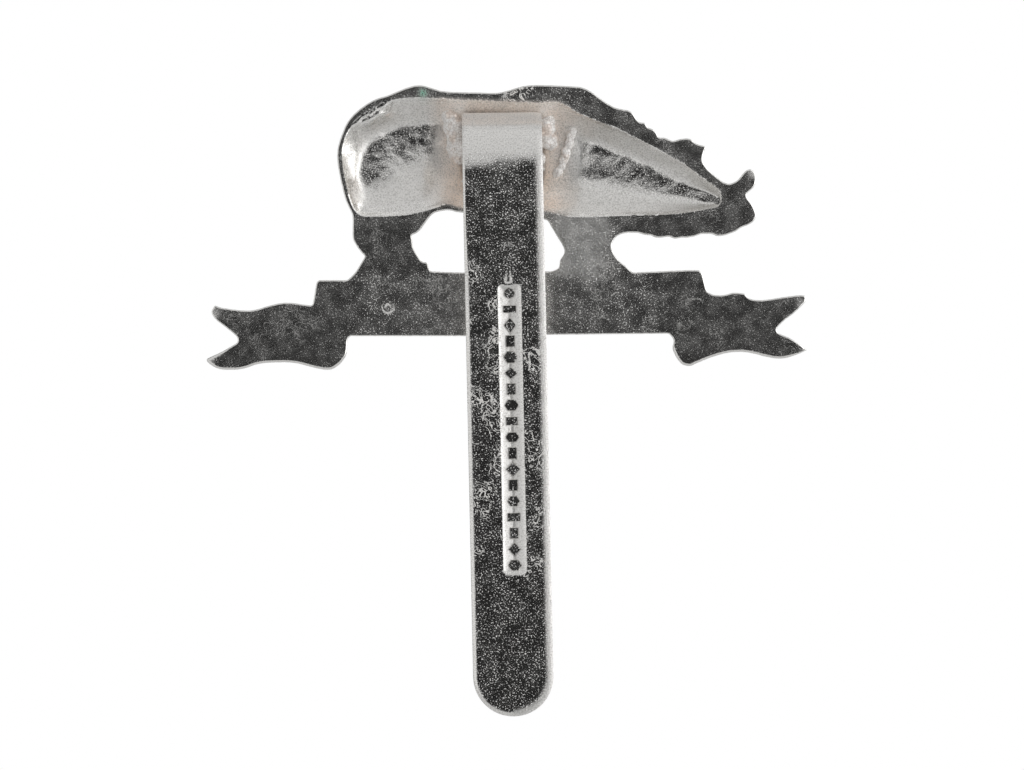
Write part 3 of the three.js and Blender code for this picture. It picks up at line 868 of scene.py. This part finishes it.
edge_depth = THIN_EDGE[1] + (WIDE_EDGE[1] - THIN_EDGE[1]) * worn_side
swell = grain(ACROSS.ravel(), ALONG.ravel(), 2.2, seed=21).reshape(ACROSS.shape)
broken = edge_drop(inset, edge_width, edge_depth)
worn = WIDE_EDGE[1] * np.clip(1 - inset / WIDE_EDGE[0], 0, 1) ** 1.8
outer = -(broken + (worn - broken) * worn_side) - 0.008 * (1 + swell)
into_bend = ALONG - BLADE_LENGTH + 0.95 + 0.10 * ACROSS + 0.15 * swell
slump = 0.29 * smooth(0.0, 3.0, into_bend) * smooth(7.6, 3.6, into_bend)
outer -= PANEL_DEPTH * np.clip(panel_inset(ACROSS, ALONG) / PANEL_SLOPE, 0, 1) ** 0.85
cut = smooth(0.55, 0.0, np.abs(ACROSS - PANEL_SIDE - 0.1)) * smooth(PANEL_TOP, PANEL_TOP + 0.1, ALONG)
outer -= 0.07 * cut * smooth(PANEL_TOP + 1.9, PANEL_TOP + 0.2, ALONG + np.abs(ACROSS - PANEL_SIDE) * 2)
inner = -STRIP_THICKNESS + edge_drop(inset, INNER_EDGE[0], INNER_EDGE[1]) - slump
past_blade = ALONG - BLADE_LENGTH
draw_lines = np.sin(ALONG * 11 + 2 * swell) * smooth(1.0, 1.8, past_blade) * smooth(5.0, 3.6, past_blade)
outer += 0.009 * draw_lines - slump

outer_points = carry(ACROSS, ALONG, outer)
inner_points = carry(ACROSS, ALONG, inner)
rings = np.concatenate([outer_points, inner_points[:, ::-1]], axis=1)
rest_flat = np.stack([ACROSS, ALONG, np.zeros_like(ACROSS)], -1)
rest_rings = np.concatenate([rest_flat, rest_flat[:, ::-1] + (0, 0, 9.0)], axis=1)
row_count, ring_count = rings.shape[:2]
last = (row_count - 1) * ring_count
faces = []
for start in range(0, last, ring_count):
    for j in range(ring_count):
        k = (j + 1) % ring_count
        faces.append((start + j, start + k, start + ring_count + k, start + ring_count + j))
for j in range(len(columns) - 1):
    faces.append((last + j, last + j + 1, last + ring_count - 2 - j, last + ring_count - 1 - j))
slider = make_piece("folded_slider", rings.reshape(-1, 3), faces, slider_nickel)


def close_up(piece, distance=0.002):
    """Merges points that lie together and turns every face outwards."""
    work = bmesh.new()
    work.from_mesh(piece.data)
    bmesh.ops.remove_doubles(work, verts=work.verts, dist=distance * MM)
    bmesh.ops.recalc_face_normals(work, faces=work.faces)
    work.to_mesh(piece.data)
    loose = sum(1 for edge in work.edges if not edge.is_manifold)
    work.free()
    print(f"{piece.name}: {len(piece.data.vertices)} points, {loose} open edges")


# %% The slider's masks
rest_across, rest_along, rest_side = rest_rings.reshape(-1, 3).T
outer_side = rest_side < 1
past_blade = rest_along - BLADE_LENGTH
panel_floor = smooth(0.0, 0.3, panel_inset(rest_across, rest_along)) * outer_side
bevel = smooth(0.75, 0.35, strip_inset(rest_across, rest_along)) * (rest_across < 0) * outer_side
bend_rub = 0.5 * smooth(-0.5, 0.3, past_blade)
slider_masks = {
    "satin": np.maximum(np.maximum(bend_rub, 0.75 * panel_floor), 0.5 * bevel),
    "warm_tint": 0.5 * smooth(2.45, 3.0, past_blade),
    "worms": smooth(-6.0, -9.0, past_blade) * smooth(4.0, 16.0, rest_along) * outer_side,
    "verdigris": np.zeros(len(rest_along)),
    "coarse": 0.85 + 2.6 * bevel + 1.2 * smooth(0.0, 0.6, past_blade),
}
store(slider, "rest_place", rest_rings.reshape(-1, 3) * MM)
for name, values in slider_masks.items():
    store(slider, name, values)
    print(f"slider, {name}: {np.mean(values):.2f} on average")
close_up(slider)

# %% [markdown]
# ## Raised marks in the panel
# A maker would strike a name here. This part carries none, so the panel holds a row of plain raised marks
# instead: bars, lozenges and pips. They repeat at an even pitch, which is what Geometry Nodes are for: a line
# of points, one of a few mark shapes picked for each point by a fixed seed, and a small random stretch.

# %% Geometry Nodes tree for the marks
# Each mark: how many sides, its turn, and its stretch across and along the strip.
MARK_SHAPES = (
    (4, 0.25, 0.86, 0.62),
    (4, 0.0, 0.72, 0.72),
    (8, 0.0, 0.62, 0.66),
    (4, 0.25, 0.60, 0.84),
    (6, 0.0, 0.70, 0.66),
)


def mark_tree():
    """A row of struck marks along -Z from the origin, standing up towards +Y."""
    tree = bpy.data.node_groups.new("row of struck marks", "GeometryNodeTree")
    face = tree.interface
    face.new_socket("Geometry", in_out="OUTPUT", socket_type="NodeSocketGeometry")
    titles = ("Count", "Pitch", "Width", "Height", "Seed", "Finish")
    kinds = ("Int", "Float", "Float", "Float", "Int", "Material")
    for title, kind in zip(titles, kinds):
        face.new_socket(title, in_out="INPUT", socket_type="NodeSocket" + kind)
    given = tree.nodes.new("NodeGroupInput").outputs
    step = add(tree, "ShaderNodeCombineXYZ", {"Z": Value(tree, given["Pitch"]) * -1.0})
    line = add(tree, "GeometryNodeMeshLine", {"Count": given["Count"], "Offset": step.outputs[0]})

    shapes = tree.nodes.new("GeometryNodeJoinGeometry")
    half = Value(tree, given["Width"]) * 0.5
    for sides, quarter_turn, stretch_across, stretch_along in MARK_SHAPES:
        wires = {"Vertices": sides, "Radius Bottom": half, "Radius Top": half * 0.86}
        wires["Depth"] = given["Height"]
        shape = add(tree, "GeometryNodeMeshCone", wires).outputs["Mesh"]
        for change in (
            {"Rotation": (0, 0, quarter_turn * math.pi)},
            {"Scale": (stretch_across, stretch_along, 1)},
            {"Rotation": (-math.pi / 2, 0, 0)},
        ):
            shape = add(tree, "GeometryNodeTransform", {"Geometry": shape, **change}).outputs[0]
        single = add(tree, "GeometryNodeGeometryToInstance", {"Geometry": shape})
        tree.links.new(single.outputs[0], shapes.inputs[0])
    wires = {"Seed": given["Seed"], "Min_002": 0, "Max_002": len(MARK_SHAPES) - 1}
    pick = add(tree, "FunctionNodeRandomValue", wires, data_type="INT")
    wires = {"Seed": given["Seed"], "Min": (0.82, 1.0, 0.82), "Max": (1.08, 1.0, 1.05)}
    size = add(tree, "FunctionNodeRandomValue", wires, data_type="FLOAT_VECTOR")
    placed = add(tree, "GeometryNodeInstanceOnPoints", {
        "Points": line.outputs["Mesh"],
        "Instance": shapes.outputs[0],
        "Pick Instance": True,
        "Instance Index": socket_of(pick.outputs, "Value_002"),
        "Scale": size.outputs[0],
    })
    real = add(tree, "GeometryNodeRealizeInstances", {"Geometry": placed.outputs[0]})
    painted = add(tree, "GeometryNodeSetMaterial", {"Geometry": real.outputs[0], "Material": given["Finish"]})
    add(tree, "NodeGroupOutput", {0: painted.outputs[0]})
    return tree


def grow(name, tree, values):
    """Runs a Geometry Nodes tree with the given inputs and keeps the result as a plain mesh."""
    seed_mesh = bpy.data.meshes.new(name)
    piece = bpy.data.objects.new(name, seed_mesh)
    bpy.context.scene.collection.objects.link(piece)
    modifier = piece.modifiers.new("grow", "NODES")
    modifier.node_group = tree
    for item in tree.interface.items_tree:
        if item.in_out == "INPUT" and item.name in values:
            modifier[item.identifier] = values[item.name]
    seen = piece.evaluated_get(bpy.context.evaluated_depsgraph_get())
    plain = bpy.data.meshes.new_from_object(seen)
    piece.modifiers.remove(modifier)
    piece.data = plain
    print(f"{name}: {len(plain.polygons)} faces")
    return piece


# %% Place the marks
MARK_COUNT = 18
MARK_HEIGHT = 0.21
MARK_SINK = 0.01
END_SPACE = 0.75
mark_pitch = (PANEL_TOP - PANEL_LOW - 2 * END_SPACE) / (MARK_COUNT - 1)
print(f"marks: {MARK_COUNT}, one every {mark_pitch:.2f} mm")
marks = grow("panel_marks", mark_tree(), {
    "Count": MARK_COUNT,
    "Pitch": mark_pitch * MM,
    "Width": 1.75 * MM,
    "Height": MARK_HEIGHT * MM,
    "Seed": 5,
    "Finish": slider_nickel,
})
mark_points = np.empty(len(marks.data.vertices) * 3)
marks.data.vertices.foreach_get("co", mark_points)
mark_points = mark_points.reshape(-1, 3) / MM
first_mark = PANEL_TOP - END_SPACE
mark_across = mark_points[:, 0] + PANEL_SIDE
mark_along = first_mark + mark_points[:, 2]
placed = carry(mark_across, mark_along, mark_points[:, 1] - PANEL_DEPTH - MARK_SINK)
marks.data.vertices.foreach_set("co", (placed * MM).ravel())
marks.data.update()
store(marks, "rest_place", np.stack([mark_across, mark_along, mark_points[:, 1]], 1) * MM)
for name in MASKS:
    store(marks, name, np.full(len(mark_points), 0.5 if name == "coarse" else 0.0))

# %% [markdown]
# ## The slider in place
# The foot is brazed fast and the blade flexes a few degrees when it is pushed over a cap band. The strip
# opens where its curve is. Here both pieces are only baked in place, with their transforms applied to their
# points, and the CAD's slider is hidden.

# %% Bake the slider and its marks in place
for piece in (slider, marks):
    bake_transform(piece)
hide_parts("slider")

# %% [markdown]
# ## The braze
# Braze metal was run in beside the foot with a torch, and it froze as lumps and runs. Lumps of liquid metal
# are spheres that have flowed together, so each one is a string of small balls, merged by a voxel remesh,
# which also gives it an even skin that noise can push about. Metaballs would merge too, but their size is
# hard to hold, and the CAD says where each bead has to be.

# %% Beads from merged balls
def ball_string(path, radius, count, seed, flatten):
    """Balls of uneven size strewn along a smooth path: their centres and radii."""
    draw = np.random.default_rng(seed)
    line = smooth_curve(path)
    at = np.linspace(0, len(line) - 1, count).astype(int)
    centres = line[at] + draw.normal(0, 0.22 * radius, (count, 3)) * (1, flatten, 1)
    return centres, radius * draw.uniform(0.62, 1.12, count)


def freeze(name, balls, voxel, roughness, seed):
    """Merges balls into one skin, then pushes the skin about with noise."""
    work = bmesh.new()
    for centre, radius in zip(*balls):
        made = bmesh.ops.create_icosphere(work, subdivisions=3, radius=radius * MM)
        bmesh.ops.translate(work, verts=made["verts"], vec=Vector(centre) * MM)
    mesh = bpy.data.meshes.new(name)
    work.to_mesh(mesh)
    work.free()
    piece = bpy.data.objects.new(name, mesh)
    bpy.context.scene.collection.objects.link(piece)
    remesh = piece.modifiers.new("merge", "REMESH")
    remesh.mode = "VOXEL"
    remesh.voxel_size = voxel * MM
    soften = piece.modifiers.new("soften", "SMOOTH")
    soften.iterations = 3
    seen = piece.evaluated_get(bpy.context.evaluated_depsgraph_get())
    skin = bpy.data.meshes.new_from_object(seen)
    piece.modifiers.clear()
    piece.data = skin
    points = [vertex.co / MM for vertex in skin.vertices]
    normals = [vertex.normal.copy() for vertex in skin.vertices]
    pushes = [noise.fractal(point / 0.45 + Vector((seed, 0, 0)), 1.0, 2.0, 3) for point in points]
    moved = [point + normal * push * roughness for point, normal, push in zip(points, normals, pushes)]
    skin.vertices.foreach_set("co", (np.array(moved) * MM).ravel())
    skin.update()
    skin.shade_smooth()
    skin.materials.clear()
    skin.materials.append(braze_metal)
    print(f"{name}: {len(skin.polygons)} faces")
    return piece


BEADS = {
    "rump_side_bead": ("braze_bead_rump_side", 0.72, 22, 0.09, [
        (4.6, -1.7, 15.3), (4.3, -1.35, 14.5), (4.0, -1.2, 13.6), (3.9, -1.5, 12.7), (3.7, -2.0, 12.1)]),
    "head_side_bead": ("braze_bead_head_side", 0.55, 16, 0.07, [
        (-3.3, -1.5, 15.2), (-3.4, -1.2, 14.4), (-3.5, -1.4, 13.6), (-3.7, -1.9, 12.9)]),
    "oblique_run": ("braze_run", 0.34, 30, 0.05, [
        (-5.45, -1.42, 14.0), (-5.2, -1.55, 13.0), (-4.85, -1.64, 12.0), (-4.45, -1.66, 11.1),
        (-4.1, -1.80, 10.5)]),
    "foot_braze": ("braze_pad", 0.50, 34, 0.03, [
        (-2.9, -2.25, 9.6), (0.2, -2.3, 9.4), (3.2, -2.25, 9.7), (3.2, -2.25, 10.8), (0.2, -2.3, 10.9),
        (-2.9, -2.25, 10.8), (-2.8, -2.25, 12.0), (0.2, -2.3, 12.0), (3.1, -2.25, 11.9)]),
}
for number, (name, (node, radius, balls, roughness, path)) in enumerate(BEADS.items()):
    bead = freeze(name, ball_string(path, radius, balls, 31 + number, 0.4), 0.065, roughness, 10 * number)
    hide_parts(node)
    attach(bead, "badge")

# %% [markdown]
# ## Room, light and camera
# Bright metal needs something bright to look at. The badge stands in a white light tent with one opening,
# where the camera looks in: flat faces mirror the dark opening and go nearly black, and everything that leans
# away mirrors the white cloth. The tent is the world's shader, so that no lamp has an edge. The half of the
# room in front of the badge is grey, with three soft panels. The floor is plain, pale and low.

# %% Light tent
def light_tent():
    world = bpy.data.worlds.new("light tent")
    bpy.context.scene.world = world
    world.use_nodes = True
    tree = world.node_tree
    tree.nodes.clear()
    towards = tree.nodes.new("ShaderNodeTexCoord").outputs["Generated"]
    parts = add(tree, "ShaderNodeSeparateXYZ", {"Vector": towards}).outputs
    x, y, z = (Value(tree, parts[axis]) for axis in "XYZ")
    behind = y.ramp(-0.05, 0.10)

    # The half of the room behind the badge is the tent, with the camera's dark opening in it.
    across = x.maths("DIVIDE", 0.36)
    upright = (z + 0.10).maths("DIVIDE", 0.32)
    off_axis = (across * across + upright * upright).maths("SQRT")
    opening = off_axis.ramp(1.06, 0.78) * behind
    crest = z.ramp(0.75, 0.85) * y.ramp(0.26, 0.14)
    tent = x.ramp(-0.42, -0.70, 0.88, 2.6) * crest.ramp(0.0, 1.0, 1.0, 1.45)
    tent = tent * z.ramp(0.25, -0.25, 0.80, 1.12) * opening.ramp(0.0, 1.0, 1.0, 0.018)

    # The half in front is grey, with one panel overhead and one on each side.
    overhead = z.ramp(0.35, 0.62) * 0.40
    left = x.ramp(-0.45, -0.62) * z.ramp(-0.5, -0.3) * 1.6
    right = x.ramp(0.55, 0.72) * z.ramp(-0.3, 0.0) * 0.75
    room = overhead.larger(left).larger(right).larger(0.13)

    lit = add(tree, "ShaderNodeMix", {"Factor_Float": behind, "A_Float": room, "B_Float": tent})
    strength = Value(tree, socket_of(lit.outputs, "Result_Float"))
    strength = strength.larger(add(tree, "ShaderNodeLightPath", {}).outputs["Is Camera Ray"])
    sky = add(tree, "ShaderNodeBackground", {"Color": (1, 1, 1, 1), "Strength": strength})
    add(tree, "ShaderNodeOutputWorld", {"Surface": sky.outputs[0]})
    print(f"light tent: {len(tree.nodes)} nodes")


light_tent()

# %% Floor
FLOOR_HALF_WIDTH = 0.70
FLOOR_FRONT = -1.00
FLOOR_BACK = 0.30
FLOOR_DROP = 0.090


def pale_floor():
    material, tree = new_material("pale floor")
    surface(tree, {"Base Color": (0.80, 0.80, 0.80, 1), "Roughness": 0.9})
    height = cad_low[2] - FLOOR_DROP
    sides = (-FLOOR_HALF_WIDTH, FLOOR_HALF_WIDTH)
    corners = [(x, y, height) for y in (FLOOR_FRONT, FLOOR_BACK) for x in sides]
    mesh = bpy.data.meshes.new("floor")
    mesh.from_pydata(corners, [], [(0, 1, 3, 2)])
    mesh.materials.append(material)
    floor = bpy.data.objects.new("floor", mesh)
    bpy.context.scene.collection.objects.link(floor)
    floor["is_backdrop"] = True
    print(f"floor: {FLOOR_DROP / MM:.0f} mm below the badge")


pale_floor()

# %% Camera behind the badge
CAMERA_DISTANCE = 0.455
camera_data = bpy.data.cameras.new("camera")
camera_data.lens = 200
camera_data.sensor_width = 36
camera_data.dof.use_dof = False
camera_data.clip_start = 0.02
camera = bpy.data.objects.new("camera", camera_data)
bpy.context.scene.collection.objects.link(camera)
camera.location = (-0.00056, CAMERA_DISTANCE, -0.0064)
camera.rotation_euler = (math.pi / 2, 0, math.pi)
bpy.context.scene.camera = camera
bpy.context.scene.view_settings.view_transform = "Standard"
print(f"camera: {CAMERA_DISTANCE / MM:.0f} mm behind the back's plane")

# %% [markdown]
# ## Last step: sizes
# The two boxes show whether the finished pieces stay in the CAD model's room.

# %% Print the sizes and finish
low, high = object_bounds()
print("visual box in mm:", [round(v / MM, 2) for v in (*low, *high)])
